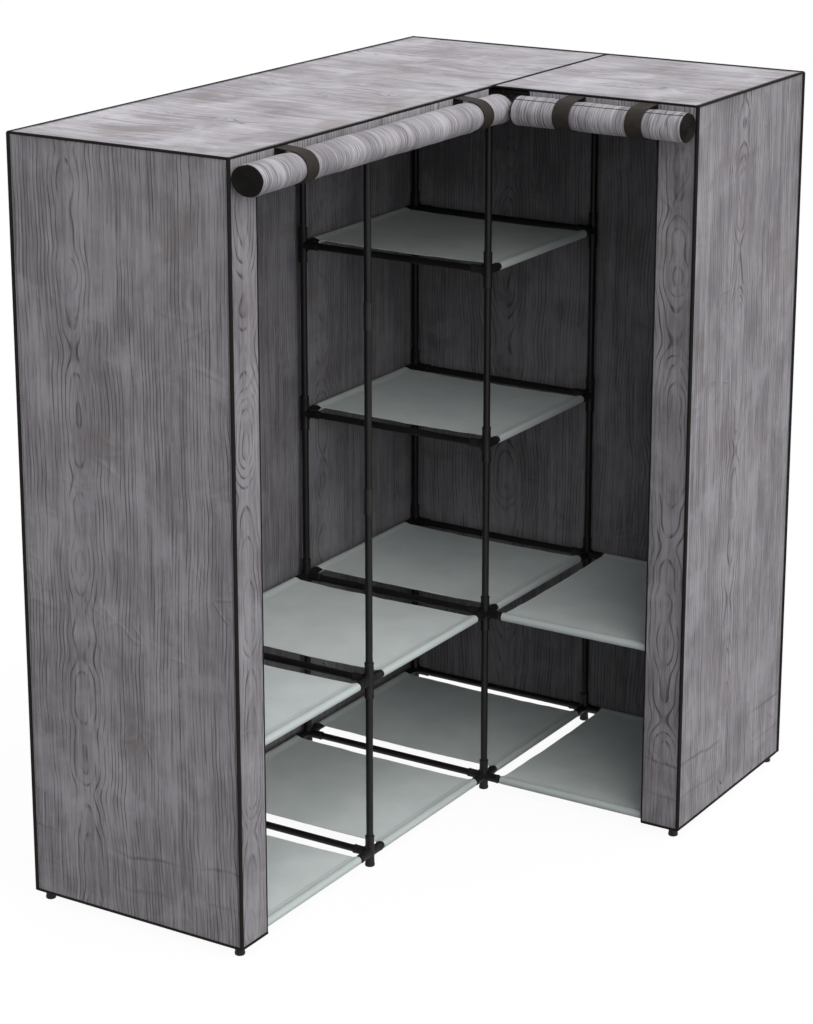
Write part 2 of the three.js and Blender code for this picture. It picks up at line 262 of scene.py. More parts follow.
class Recipe(Pattern):
    """A node group with named sockets. Each has its first value, or else the word for its kind."""

    def __init__(self, name, kind, inputs, outputs):
        super().__init__(bpy.data.node_groups.new(name, kind))
        for way, sockets in (("INPUT", inputs), ("OUTPUT", outputs)):
            for socket, value in sockets.items():
                word = value if isinstance(value, str) else {int: "Int", float: "Float"}[type(value)]
                made = self.tree.interface.new_socket(
                    name=socket, in_out=way, socket_type="NodeSocket" + word)
                if word != value:
                    made.default_value = value
        self.given = self.tree.nodes.new("NodeGroupInput").outputs
        self.end = self.tree.nodes.new("NodeGroupOutput")

    def finish_shape(self, geometry):
        """Turns what was made into real faces with the given material."""
        real = self.node("GeometryNodeRealizeInstances", {"Geometry": geometry})[0]
        self["Geometry"] = self.node("GeometryNodeSetMaterial", {
            "Geometry": real, "Material": self.given["Material"]})[0]


class Finish(Pattern):
    """A material, whose wiring ends in its shader."""

    def __init__(self, name):
        self.material = bpy.data.materials.new(name)
        self.material.use_nodes = True
        super().__init__(self.material.node_tree)
        self.end = self.tree.nodes.new("ShaderNodeBsdfPrincipled")
        self.node("ShaderNodeOutputMaterial", {"Surface": self.end.outputs[0]})

    def place(self):
        return self.node("ShaderNodeTexCoord")["Object"]

    def on_cloth(self, layer="flat"):
        return self.node("ShaderNodeUVMap", uv_map=layer)[0]

    def coat(self, colour, roughness, normal, specular=0.5, sheen=0.0):
        """Gives the shader its surface, and hands over the material."""
        for name, value in (("Base Color", colour), ("Roughness", roughness), ("Normal", normal),
                            ("Specular IOR Level", specular), ("Sheen Weight", sheen)):
            self[name] = value
        return self.material


def along_paths(name, paths, recipe, inputs):
    """A piece that a recipe makes along paths of points, with the recipe's inputs set by name."""
    edges, first = [], 0
    for path in paths:
        edges += [(first + i, first + i + 1) for i in range(len(path) - 1)]
        first += len(path)
    mesh = bpy.data.meshes.new(name)
    mesh.from_pydata([tuple(point) for path in paths for point in path], edges, [])
    piece = new_object(name, mesh)
    modifier = piece.modifiers.new(recipe.tree.name, "NODES")
    modifier.node_group = recipe.tree
    for item in recipe.tree.interface.items_tree:
        if item.in_out == "INPUT" and item.name in inputs:
            modifier[item.identifier] = inputs[item.name]
    return settled(piece)


tube_recipe = Recipe("tube_along_path", "GeometryNodeTree", {
    "Geometry": "Geometry", "Radius": tube_radius, "Sides": 28, "Flatness": 1.0, "Material": "Material"},
    {"Geometry": "Geometry"})
tube_given = tube_recipe.given
tube_path = tube_recipe.node("GeometryNodeMeshToCurve", {"Mesh": tube_given["Geometry"]})[0]
tube_ring = tube_recipe.node("GeometryNodeCurvePrimitiveCircle", {
    "Resolution": tube_given["Sides"], "Radius": tube_given["Radius"]})[0]
tube_squeeze = tube_recipe.node("ShaderNodeCombineXYZ", {
    "X": 1.0, "Y": tube_given["Flatness"], "Z": 1.0})[0]
tube_oval = tube_recipe.node("GeometryNodeTransform", {"Geometry": tube_ring, "Scale": tube_squeeze})[0]
tube_recipe.finish_shape(tube_recipe.node("GeometryNodeCurveToMesh", {
    "Curve": tube_path, "Profile Curve": tube_oval, "Fill Caps": True})[0])


def tubes(name, paths, material, radius=tube_radius, sides=28, flatness=1.0, crisp=38):
    return smooth_but(along_paths(name, paths, tube_recipe, {
        "Radius": radius, "Sides": sides, "Flatness": flatness, "Material": material}), crisp)


def rgb(red, green, blue, shade=1.0):
    """A colour as a screen shows it, 0 to 255, turned into the renderer's own scale and shaded there."""
    shares = [value / 255 for value in (red, green, blue)]
    return (*(shade * (s / 12.92 if s <= 0.04045 else ((s + 0.055) / 1.055) ** 2.4) for s in shares), 1)


# Handling marks of a painted or moulded surface: fine grain, soft smudges and pale scuffs
handling_marks = Recipe("handling_marks", "ShaderNodeTree", {
    "Coordinates": "Vector", "Grain Scale": 900.0, "Smudge Scale": 14.0},
    {"Grain": "Float", "Smudge": "Float", "Scuff": "Float"})
marked = handling_marks.given
handling_marks["Grain"] = handling_marks.noise(marked["Coordinates"], marked["Grain Scale"], 3.0)
handling_marks["Smudge"] = handling_marks.noise(marked["Coordinates"], marked["Smudge Scale"], 4.0, 0.6)
handling_marks["Scuff"] = handling_marks.spread(
    handling_marks.noise(marked["Coordinates"], 70.0, 6.0, 0.75), 0.62, 0.72)


def hard_finish(name, colour, worn_colour, rough, grain_scale, relief):
    """Paint or moulded plastic with its grain, smudges and scuffs."""
    finish = Finish(name)
    marks = finish.using(handling_marks, {
        "Coordinates": finish.place(), "Grain Scale": grain_scale, "Smudge Scale": 14.0})
    tone = finish.blend(finish.spread(marks["Smudge"], 0.3, 0.7, 0, 0.35), colour, worn_colour)
    return finish.coat(
        finish.blend(finish.times(marks["Scuff"], 0.5), tone, worn_colour),
        finish.spread(marks["Smudge"], 0.3, 0.7, rough - 0.06, rough + 0.09),
        finish.bump(marks["Grain"], relief, 0.0004), specular=0.22)


black_paint = hard_finish("tube_paint_black", rgb(17, 17, 16), rgb(31, 31, 29), 0.44, 1400.0, 0.12)
sleeve_steel = hard_finish("sleeve_steel", rgb(30, 29, 28), rgb(52, 51, 49), 0.4, 1100.0, 0.15)

# Posts and bays are counted from the back corner: a along the long wing, b along the right one
posts = {
    "corner_post": (0, 0), "left_back_inner_post": (1, 0), "left_back_middle_post": (2, 0),
    "left_back_end_post": (3, 0), "right_back_inner_post": (0, 1), "inner_corner_post": (1, 1),
    "left_front_middle_post": (2, 1), "left_front_end_post": (3, 1), "right_back_end_post": (0, 2),
    "right_front_end_post": (1, 2)}
bays = {"corner": (0, 0), "left_middle": (1, 0), "left_end": (2, 0), "right_end": (0, 1)}
level_names = ["bottom", "middle", "third", "fourth"]


def bays_at(level):
    return bays if level in (0, 1, storeys) else {"corner": bays["corner"]}


def arm_directions(a, b, level):
    """The ways in which the post at (a, b) has a tube at a level, as steps along X and Y."""
    found = set()
    for bay_a, bay_b in bays_at(level).values():
        for from_a, from_b, step_a, step_b in (
                (bay_a, bay_b, 1, 0), (bay_a, bay_b + 1, 1, 0),
                (bay_a, bay_b, 0, 1), (bay_a + 1, bay_b, 0, 1)):
            if (from_a, from_b) == (a, b):
                found.add((-step_a, -step_b))
            if (from_a + step_a, from_b + step_b) == (a, b):
                found.add((step_a, step_b))
    return tuple(sorted(found))


for post_name, (a, b) in posts.items():
    x, y = post_x(a), post_y(b)
    joints = [level_z(level) for level in (2, 3) if not arm_directions(a, b, level)]
    cuts = [foot_floor, *joints, top_level - socket_floor]
    lengths = [[(x, y, low + tube_gap), (x, y, high - tube_gap)] for low, high in zip(cuts, cuts[1:])]
    fixed(tubes(post_name + "_tube", lengths, black_paint), post_name)
    if joints:
        rims = (-joint_sleeve_half, joint_sleeve_rim - joint_sleeve_half,
                joint_sleeve_half - joint_sleeve_rim, joint_sleeve_half)
        fixed(tubes(post_name + "_joint_sleeves", [[(x, y, z + rim) for rim in rims] for z in joints],
                    sleeve_steel, joint_sleeve_radius))

# Tubes that end in a connector or clip at each end, as (a, b, step, step, level) from their first end
bare_tubes = {}
for level, level_name in enumerate(level_names):
    for tube_name, run in {
            "left_end": (3, 0, 0, 1), "left_middle": (2, 0, 0, 1), "corner_left": (1, 0, 0, 1),
            "corner_back": (0, 0, 0, 1), "right_end": (0, 2, 1, 0)}.items():
        if level < 2 or tube_name in ("corner_left", "corner_back"):
            bare_tubes[f"{level_name}_{tube_name}_cross_tube"] = (*run, level)
bare_tubes["top_corner_back_cross_tube"] = (0, 0, 0, 1, storeys)
bare_tubes["left_end_hanging_rail"] = (2, 0.5, 1, 0, storeys)
bare_tubes["left_middle_hanging_rail"] = (1, 0.5, 1, 0, storeys)
bare_tubes["right_hanging_rail"] = (0.5, 1, 0, 1, storeys)
for cad_name, (a, b, step_a, step_b, level) in bare_tubes.items():
    fixed(tubes(cad_name + "_steel", [[
        (post_x(a + step_a * t), post_y(b + step_b * t), level_z(level))
        for t in (bare_tube_end_in, 1 - bare_tube_end_in)]], black_paint), cad_name)

# The top tubes run through their connectors, from post (a, b) to post (c, d)
top_tubes = {
    "top_back_rail": [(3, 0, 0, 0)], "top_front_rail": [(3, 1, 0, 1)],
    "top_right_frame": [(1, 2, 0, 2), (0, 2, 0, 1), (1, 2, 1, 1)],
    "top_left_end_cross_tube": [(3, 0, 3, 1)], "top_left_middle_cross_tube": [(2, 0, 2, 1)],
    "top_corner_left_cross_tube": [(1, 0, 1, 1)]}
for cad_name, runs in top_tubes.items():
    fixed(tubes(cad_name + "_steel", [
        [(post_x(a), post_y(b), top_level), (post_x(c), post_y(d), top_level)] for a, b, c, d in runs],
        black_paint), cad_name)


# ---------------------------------------------------------------- Moulded connectors and feet
# Black moulded plastic. Each connector is a sleeve on the post with an arm for every tube, a faint
# collar round each mouth and a small web in each angle. The feet are flared caps under the bottom ones.
socket_radius = 0.0101
arm_radius = 0.0099
collar_proud = 0.0004
collar_length = 0.005
collar_slope = 0.0009
clip_half = 0.015
web_half = 0.0016
web_start = 0.004
web_bevel = 0.0098
web_reach = 0.0165
web_outline = ((web_start, web_start), (web_reach, web_start), (web_reach, web_bevel),
               (web_bevel, web_reach), (web_start, web_reach))
up = np.array((0, 0, 1.0))
plastic = hard_finish("moulded_plastic", rgb(17, 17, 16), rgb(34, 34, 32), 0.52, 700.0, 0.3)


def turned(profile, direction, sides=26):
    """A closed solid turned round a direction from points given as (distance, radius)."""
    axis = np.array(direction, float)
    side = np.array((0, 0, 1) if abs(axis[2]) < 0.5 else (1, 0, 0), float)
    other = np.cross(axis, side)
    points = [axis * distance + radius * (math.cos(angle) * side + math.sin(angle) * other)
              for distance, radius in profile for angle in np.arange(sides) * 2 * math.pi / sides]
    last = (len(profile) - 1) * sides
    faces = [(ring + i, ring + (i + 1) % sides, ring + sides + (i + 1) % sides, ring + sides + i)
             for ring in range(0, last, sides) for i in range(sides)]
    return points, [*faces, tuple(range(sides))[::-1], tuple(last + i for i in range(sides))]


def upright_plate(corners, across):
    """A thin plate between two copies of an outline, moved apart along across."""
    count = len(corners)
    points = [c - across for c in corners] + [c + across for c in corners]
    faces = [tuple(range(count)), tuple(range(2 * count - 1, count - 1, -1))]
    faces += [(i, i + count, (i + 1) % count + count, (i + 1) % count) for i in range(count)]
    return points, faces


def joined(parts):
    """The mesh of one solid from overlapping closed parts."""
    whole = None
    for points, faces in parts:
        mesh = bpy.data.meshes.new("moulding")
        mesh.from_pydata([tuple(p) for p in points], [], faces)
        work = bmesh.new()
        work.from_mesh(mesh)
        bmesh.ops.recalc_face_normals(work, faces=work.faces)
        work.to_mesh(mesh)
        work.free()
        part = new_object("moulding", mesh)
        if whole is None:
            whole = part
            continue
        union = whole.modifiers.new("union", "BOOLEAN")
        union.operation = "UNION"
        union.solver = "EXACT"
        union.object = part
        whole = settled(whole)
        bpy.data.objects.remove(part)
    shape = whole.data
    bpy.data.objects.remove(whole)
    return shape


def sleeve_profile(start, end):
    """A socket with a raised collar and softened rims at both ends."""
    lip = socket_radius + collar_proud
    half = [(0, socket_radius - 0.0014), (0.0004, lip - 0.0004), (0.0013, lip), (collar_length, lip),
            (collar_length + collar_slope, socket_radius)]
    return [(start + t, r) for t, r in half] + [(end - t, r) for t, r in half[::-1]]


def arm_profile(end):
    lip = arm_radius + collar_proud
    return [(0, arm_radius), (end - collar_length - collar_slope, arm_radius), (end - collar_length, lip),
            (end - 0.0018, lip), (end - 0.0006, lip - 0.0006), (end, arm_radius - 0.0022)]


foot_profile = [(rise - bottom_level, radius) for rise, radius in (
    (0, 0.0092), (0.0006, 0.0104), (0.0018, 0.0112), (0.0052, 0.0113), (0.0085, 0.0104))]
hub_profiles = {
    "foot": foot_profile + sleeve_profile(0, socket_reach)[5:],
    "middle": sleeve_profile(-socket_reach, socket_reach),
    "top": [*sleeve_profile(-socket_reach, 0)[:5], (0.0088, socket_radius), (0.0098, 0.009)]}
web_sides = {"foot": (1,), "middle": (1, -1), "top": (-1,)}
connector_shapes = {}


def connector_shape(directions, kind):
    """The mesh of a connector at the origin, made once for each set of arms."""
    if (directions, kind) not in connector_shapes:
        parts = [turned(hub_profiles[kind], up)]
        for step in directions:
            way = np.array((*step, 0.0))
            parts.append(turned(arm_profile(socket_reach), way))
            for side in web_sides[kind]:
                corners = [way * out + up * side * high for out, high in web_outline]
                parts.append(upright_plate(corners, np.cross(way, up) * web_half))
        connector_shapes[directions, kind] = joined(parts)
    return connector_shapes[directions, kind]


def moulded(name, copies, cad_name=None):
    """One piece from shapes moved to their places."""
    work = bmesh.new()
    for shape, place in copies:
        before = len(work.verts)
        work.from_mesh(shape)
        work.verts.ensure_lookup_table()
        bmesh.ops.translate(work, verts=work.verts[before:], vec=place)
    mesh = bpy.data.meshes.new(name)
    work.to_mesh(mesh)
    work.free()
    return fixed(smooth_but(new_object(name, mesh, plastic), 35), cad_name)


for post_name, (a, b) in posts.items():
    arms = {level: arm_directions(a, b, level) for level in range(storeys)}
    moulded(post_name + "_connectors", [
        (connector_shape(directions, "middle" if level else "foot"), (post_x(a), post_y(b), level_z(level)))
        for level, directions in arms.items() if directions], post_name)

top_hubs = {
    "top_back_rail": [(a, 0) for a in range(4)], "top_front_rail": [(a, 1) for a in range(4)],
    "top_right_frame": [(0, 2), (1, 2)]}
for cad_name, places in top_hubs.items():
    moulded(cad_name + "_connectors", [
        (connector_shape(arm_directions(a, b, storeys), "top"), (post_x(a), post_y(b), top_level))
        for a, b in places], cad_name)

# Clips on the top tubes that take the ends of the hanging rails: each by its place and its arms
rail_clips = {
    "left_end_rail_clips": [(3, 0.5, [(1, 0)]), (2, 0.5, [(1, 0), (-1, 0)]), (1, 0.5, [(-1, 0)])],
    "right_rail_clips": [(0.5, 1, [(0, -1)]), (0.5, 2, [(0, 1)])]}
for clip_name, places in rail_clips.items():
    moulded(clip_name, [(joined([
        turned(sleeve_profile(-clip_half, clip_half), (0, 1, 0) if steps[0][0] else (1, 0, 0)),
        *(turned(arm_profile(socket_reach), (*step, 0)) for step in steps)]),
        (post_x(a), post_y(b), top_level)) for a, b, steps in places])


# ---------------------------------------------------------------- Fabric shelves
# Pale grey-green nonwoven cloth, its two sides turned round the shelf tubes and sewn down into sleeves.
# The cloth hangs a little between the two seams and its free edges are left raw.
shelf_cloth = 0.0012
shelf_sag = 0.0026
seam_in = 0.0150
seam_height = 0.0046
stitches_in = 0.0162
stitches_end_in = 0.004
shelf_width = bay_pitch - 2 * (socket_reach + 0.006)
rod_half = bay_pitch / 2 - socket_floor - 0.0003
shelf_columns = 56
sleeve_steps = 26
shelf_steps = 40

# Nonwoven cloth: a staggered grid of tiny pressed dimples in matted fibre
nonwoven = Recipe("nonwoven", "ShaderNodeTree", {"Coordinates": "Vector", "Pitch": 0.0022},
                  {"Height": "Float", "Fibre": "Float"})
dimple_at = nonwoven.node("ShaderNodeSeparateXYZ", {0: nonwoven.given["Coordinates"]})
dimple_u, dimple_v = (nonwoven.maths("DIVIDE", dimple_at[i], nonwoven.given["Pitch"]) for i in (0, 1))
dimple_row = nonwoven.times(nonwoven.maths("FLOOR", dimple_v), 0.5)
dimple_a = nonwoven.minus(nonwoven.maths("FRACT", nonwoven.plus(dimple_u, dimple_row)), 0.5)
dimple_b = nonwoven.minus(nonwoven.maths("FRACT", dimple_v), 0.5)
dimple_far = nonwoven.maths("SQRT", nonwoven.plus(
    nonwoven.times(dimple_a, dimple_a), nonwoven.times(dimple_b, dimple_b, 2.2)))
matted = nonwoven.noise(nonwoven.given["Coordinates"], 1500.0, 4.0, 0.7)
nonwoven["Height"] = nonwoven.plus(nonwoven.spread(dimple_far, 0.16, 0.36), nonwoven.times(matted, 0.6))
nonwoven["Fibre"] = matted


def grid_mesh(name, points, **layers):
    """A mesh from a grid of points. Each layer is a UV map with the points' flat places in metres."""
    index = np.arange(points.shape[0] * points.shape[1]).reshape(points.shape[:2])
    quads = np.stack([index[:-1, :-1], index[:-1, 1:], index[1:, 1:], index[1:, :-1]], -1).reshape(-1, 4)
    mesh = bpy.data.meshes.new(name)
    mesh.from_pydata(points.reshape(-1, 3).tolist(), [], quads.tolist())
    for layer, places in layers.items():
        corners = places.reshape(-1, 2)[quads.ravel()].astype(np.float32)
        mesh.uv_layers.new(name=layer).data.foreach_set("uv", corners.ravel())
    return mesh


def cloth_sheet(name, points, thickness, materials, offset, **layers):
    """Cloth of a thickness from a grid of points. A second material lines its inner face."""
    piece = new_object(name, grid_mesh(name, points, **layers), *materials)
    solid = piece.modifiers.new("thickness", "SOLIDIFY")
    solid.thickness = thickness
    solid.offset = offset
    solid.material_offset = len(materials) - 1
    return smooth_but(settled(piece), 50)


def soft_noise(u, v, cell_u, cell_v, seed, wrap=61):
    """Smooth hills and hollows from -1 to 1 over a plane, which repeat after wrap cells along v."""
    lattice = np.random.default_rng(seed).uniform(-1, 1, (61, 61))
    a, b = u / cell_u, v / cell_v
    i, j = np.floor(a).astype(int), np.floor(b).astype(int)
    s, t = (d * d * d * (d * (6 * d - 15) + 10) for d in (a - i, b - j))
    low, high = (lattice[i % 61, k % wrap] * (1 - s) + lattice[(i + 1) % 61, k % wrap] * s
                 for k in (j, j + 1))
    return low * (1 - t) + high * t


def lengths_along(line):
    """How far along a line each of its points lies."""
    return np.concatenate([[0], np.cumsum(np.hypot(*np.diff(line, axis=0).T))])


def shelf_profile():
    """The line of the cloth's middle across the tubes: from one seam round the tube and back to the seam,
    over the hanging middle, and the same at the other side. Each point is (across, height), with the
    middle of the bay at 0 and the tubes' axes at height 0."""
    radius = tube_radius + 0.0002 + shelf_cloth / 2
    half = bay_pitch / 2
    edge = half - seam_in
    lower = seam_height - 1.15 * shelf_cloth
    hang = [(u, seam_height - shelf_sag * (1 - (u / edge) ** 2))
            for u in np.linspace(-edge, edge, shelf_steps)]
    first, last = (math.atan2(high, seam_in) + way * math.acos(radius / math.hypot(seam_in, high))
                   for high, way in ((lower, -1), (seam_height, 1)))
    turn = [(-edge, lower), *[(-half + radius * math.cos(t), radius * math.sin(t))
                              for t in np.linspace(first, last - 2 * math.pi, sleeve_steps)]]
    return np.array([*turn, *hang, *[(-u, z) for u, z in turn[::-1]]])


shelf_line = shelf_profile()
shelf_reach = lengths_along(shelf_line)


def shelf_finish():
    """Pale matted cloth, with painted shade on the sleeves round the tubes to tone down their lit fronts."""
    finish = Finish("shelf_fabric")
    place = finish.on_cloth()
    weave = finish.using(nonwoven, {"Coordinates": place, "Pitch": 0.0024})
    cloud = finish.noise(place, 7.0, 4.0, 0.6)
    leaves_tube = float(shelf_reach[sleeve_steps])
    across = finish.node("ShaderNodeSeparateXYZ", {0: place})[0]
    from_edge = finish.maths("MINIMUM", across, finish.minus(float(shelf_reach[-1]), across))
    tone = finish.blend(finish.spread(cloud, 0.3, 0.7), rgb(208, 216, 214), rgb(220, 226, 224))
    tone = finish.blend(finish.spread(weave["Fibre"], 0.35, 0.7, 0.0, 0.25), tone, rgb(188, 196, 194))
    # Painted shade: the sleeves are darkened where the cloth wraps the tubes.
    sleeve_painted_shade = finish.spread(from_edge, leaves_tube - 0.003, leaves_tube + 0.004, 0.85, 0.0)
    return finish.coat(
        finish.blend(sleeve_painted_shade, tone, rgb(178, 186, 184)), finish.spread(cloud, 0.3, 0.7, 0.8, 0.9),
        finish.bump(weave["Height"], 0.35, 0.0003), specular=0.15, sheen=0.08)


shelf_fabric = shelf_finish()

# Lock stitches: short threads laid end to end along a path
stitch_recipe = Recipe("stitches_along_path", "GeometryNodeTree", {
    "Geometry": "Geometry", "Pitch": 0.005, "Stitch": 0.0034, "Thread": 0.0004, "Material": "Material"},
    {"Geometry": "Geometry"})
stitch_given = stitch_recipe.given
stitch_path = stitch_recipe.node("GeometryNodeMeshToCurve", {"Mesh": stitch_given["Geometry"]})[0]
stitch_points = stitch_recipe.node("GeometryNodeCurveToPoints", {
    "Curve": stitch_path, "Length": stitch_given["Pitch"]}, mode="LENGTH")
stitch_body = stitch_recipe.node("GeometryNodeMeshCylinder", {
    "Vertices": 5, "Radius": stitch_given["Thread"], "Depth": stitch_given["Stitch"]})[0]
stitch_lie = stitch_recipe.node("FunctionNodeAlignRotationToVector", {
    "Vector": stitch_points["Tangent"]}, axis="Z")[0]
stitch_recipe.finish_shape(stitch_recipe.node("GeometryNodeInstanceOnPoints", {
    "Points": stitch_points["Points"], "Instance": stitch_body, "Rotation": stitch_lie})[0])


def stitches(name, paths, thread, pitch, stitch, radius):
    return along_paths(name, paths, stitch_recipe, {
        "Pitch": pitch, "Stitch": stitch, "Thread": radius, "Material": thread})


def thread_finish(name, colour, shaded):
    finish = Finish(name)
    twist = finish.noise(finish.place(), 1800.0, 2.0)
    return finish.coat(finish.blend(twist, shaded, colour), 0.7, finish.bump(twist, 0.4, 0.0002))


pale_thread = thread_finish("pale_thread", rgb(205, 211, 209), rgb(150, 158, 156))
black_thread = thread_finish("black_thread", rgb(40, 40, 38), rgb(20, 20, 19))

shelves = [(level, bay_name) for level in range(storeys) for bay_name in bays_at(level)]
for seed, (level, bay_name) in enumerate(shelves, 1):
    cad_name = f"{level_names[level]}_shelf_{bay_name}"
    bay_a, bay_b = bays[bay_name]
    centre = np.array((post_x(bay_a + 0.5), post_y(bay_b + 0.5), level_z(level)))
    across, along = np.array((0, 1.0, 0)), np.array((1.0, 0, 0))
    if bay_name == "right_end":
        across, along = along, across
    u, v = np.meshgrid(shelf_reach, np.linspace(-shelf_width / 2, shelf_width / 2, shelf_columns),
                       indexing="ij")
    flat_part = np.clip(1 - (np.abs(shelf_line[:, 0]) / (bay_pitch / 2 - seam_in)) ** 6, 0, 1)
    ripple = 0.0009 * soft_noise(u, v, 0.09, 0.07, seed) + 0.0005 * soft_noise(u, v, 0.03, 0.05, seed + 90)
    frayed = 0.0012 * soft_noise(u, np.sign(v), 0.05, 1.0, seed + 40) * (np.abs(v) / (shelf_width / 2)) ** 8
    height = shelf_line[:, 1:] + ripple * flat_part[:, None]
    points = (centre + across * shelf_line[:, None, None, 0] + up * height[..., None]
              + along * (v - np.abs(frayed) * np.sign(v))[..., None])
    flat = np.stack([u, v], -1)
    if across[0]:
        points, flat = points[:, ::-1], flat[:, ::-1]
    shelf = cloth_sheet(cad_name + "_cloth", points, shelf_cloth, [shelf_fabric], 0.0, flat=flat)
    fixed(shelf, cad_name)
    rods = [centre + across * side * bay_pitch / 2 for side in (-1, 1)]
    fixed(tubes(cad_name + "_tubes", [[rod - along * rod_half, rod + along * rod_half] for rod in rods],
                black_paint))
    seams = [centre + across * side * (bay_pitch / 2 - stitches_in)
             + up * (seam_height + shelf_cloth / 2 + 0.0001) for side in (-1, 1)]
    sewn = np.linspace(-shelf_width / 2 + stitches_end_in, shelf_width / 2 - stitches_end_in, 20)
    threads = stitches(cad_name + "_stitches", [[seam + along * t for t in sewn] for seam in seams],
                       pale_thread, 0.005, 0.0034, 0.0005)
    fixed(threads)
    cad_name + "_tubes"


# ---------------------------------------------------------------- Cover panels
# Nonwoven cloth printed with a common grey wood grain: two tops, two back walls, two end panels and a
# narrow strip beside each opening. It is taut over the frame, with soft creases from being packed flat.
overall_height = 1.690
x_left = -x_right
y_front = -y_back
wing_depth = bay_pitch + 2 * post_inset
left_front_y = y_back - wing_depth
right_front_x = x_right - wing_depth
cover_cloth = 0.0016
cloth_gap = 0.0003
cloth_lap = cover_cloth + cloth_gap
hem_height = 0.0237
strip_width = 0.092
cover_cell = 0.011
edge_fade = 0.03
# Creases folded along the hem: (height above it, how far the crease wanders, strength of its painted shade
# line and of its relief)
hem_creases = ((0.155, 0.14, 0.62), (0.075, 0.1, 0.3))
# Creases across the panels: (turn in degrees, size of a cell of their noise, depth)
slant_creases = ((38, 0.1, 0.0016), (-52, 0.12, 0.0014), (8, 0.2, 0.0009))

# The print: rings cut along a plank, which run straight, with a stack of arches where the cut is deepest
grain = Recipe("wood_grain_print", "ShaderNodeTree", {
    "Coordinates": "Vector", "Plank Width": 0.47, "Ring Spacing": 0.0088, "Line Strength": 0.7,
    "Pale": "Color", "Deep": "Color", "Line": "Color"}, {"Color": "Color", "Lines": "Float"})
grain_given = grain.given
grain_at = grain.node("ShaderNodeSeparateXYZ", {0: grain_given["Coordinates"]})


def drawn_out(scale_u, scale_v, detail=2.0, roughness=0.5, u=grain_at[0]):
    """Noise drawn out along the grain."""
    place = grain.node("ShaderNodeCombineXYZ", {
        "X": grain.times(u, scale_u), "Y": grain.times(grain_at[1], scale_v), "Z": grain_at[2]})[0]
    return grain.noise(place, 1.0, detail, roughness)


def swing(pattern, wave, reach):
    """Noise turned into a value from -reach/2 to reach/2."""
    return pattern.times(pattern.minus(wave, 0.5), reach)


wander = swing(grain, drawn_out(3.0, 1.7), 0.05)
jitter = swing(grain, drawn_out(30.0, 2.0), 0.011)
shiver = swing(grain, drawn_out(40.0, 20.0, 1.0), 0.0012)
ring_x = grain.plus(grain.plus(grain_at[0], wander), grain.plus(jitter, shiver))
plank = grain.maths("FLOOR", grain.plus(grain.maths("DIVIDE", ring_x, grain_given["Plank Width"]), 0.5))
plank_x = grain.minus(ring_x, grain.times(plank, grain_given["Plank Width"]))
cut_depth = grain.spread(drawn_out(3.3, 3.4, u=plank), 0.3, 0.72, 0.0, 0.064, "LINEAR")
ring_far = grain.maths("SQRT", grain.plus(
    grain.times(plank_x, plank_x), grain.times(cut_depth, cut_depth)))
ring = grain.maths("FRACT", grain.maths("DIVIDE", ring_far, grain_given["Ring Spacing"]))
ring_line = grain.times(grain.spread(ring, 0.6, 0.9), grain.spread(ring, 0.93, 1.0, 1.0, 0.0))
ring_gate = grain.spread(drawn_out(46.0, 3.4, 3.0), 0.4, 0.6, 0.1, 1.0)
heart_gate = grain.spread(grain.maths("ABSOLUTE", plank_x), 0.001, 0.006, 0.3, 1.0)
pore = grain.spread(drawn_out(240.0, 13.0), 0.6, 0.72, 0.0, 0.4)
grain_lines = grain.maths("MAXIMUM", grain.times(ring_line, heart_gate, ring_gate), pore)
fibre = grain.times(drawn_out(420.0, 12.0, 4.0, 0.65), 0.36)
streak = grain.times(drawn_out(70.0, 1.5, 4.0, 0.6), 0.32)
cloud = grain.times(drawn_out(7.0, 4.0, 3.0, 0.6), 0.32)
grain_tone = grain.spread(grain.plus(streak, grain.plus(fibre, cloud)), 0.4, 0.6)
grain["Color"] = grain.blend(
    grain.times(grain_lines, grain_given["Line Strength"]),
    grain.blend(grain_tone, grain_given["Deep"], grain_given["Pale"]), grain_given["Line"])
grain["Lines"] = grain_lines

# Marks left by folding: thin broken crease lines in three directions, made pale as partly rubbed print and
# partly painted highlight, and soft patches
folds = Recipe("fold_marks", "ShaderNodeTree", {"Coordinates": "Vector"},
               {"Height": "Float", "Rubbed And Highlit": "Float", "Patch": "Float"})
folds_place = folds.given["Coordinates"]
soft_ridges, thin_ridges = [], []
for fold_turn, fold_scale in ((0.62, (7.0, 2.4, 1.0)), (-0.85, (6.0, 2.8, 1.0)), (1.4, (4.5, 2.2, 1.0))):
    fold_at = folds.node("ShaderNodeVectorRotate", {"Vector": folds_place, "Angle": fold_turn},
                         rotation_type="Z_AXIS")[0]
    fold_at = folds.node("ShaderNodeVectorMath", {0: fold_at, 1: fold_scale}, operation="MULTIPLY")[0]
    fold_wave = folds.noise(fold_at, 1.0, 2.0, 0.55, Distortion=0.5)
    near_half = folds.maths("ABSOLUTE", folds.minus(fold_wave, 0.5))
    soft_ridges.append(folds.spread(near_half, 0.0, 0.045, 1.0, 0.0))
    thin_ridges.append(folds.spread(near_half, 0.0, 0.014, 1.0, 0.0))
fold_gate = folds.spread(folds.noise(folds_place, 4.5, 2.0), 0.5, 0.66)
folds["Height"] = folds.plus(folds.times(folds.maths("MAXIMUM", *soft_ridges), fold_gate, 0.2),
                             folds.noise(folds_place, 9.0, 2.0, 0.5))
folds["Rubbed And Highlit"] = folds.times(folds.maths("MAXIMUM", *thin_ridges), fold_gate)
folds["Patch"] = folds.noise(folds_place, 6.5, 4.0, 0.62, Distortion=0.4)


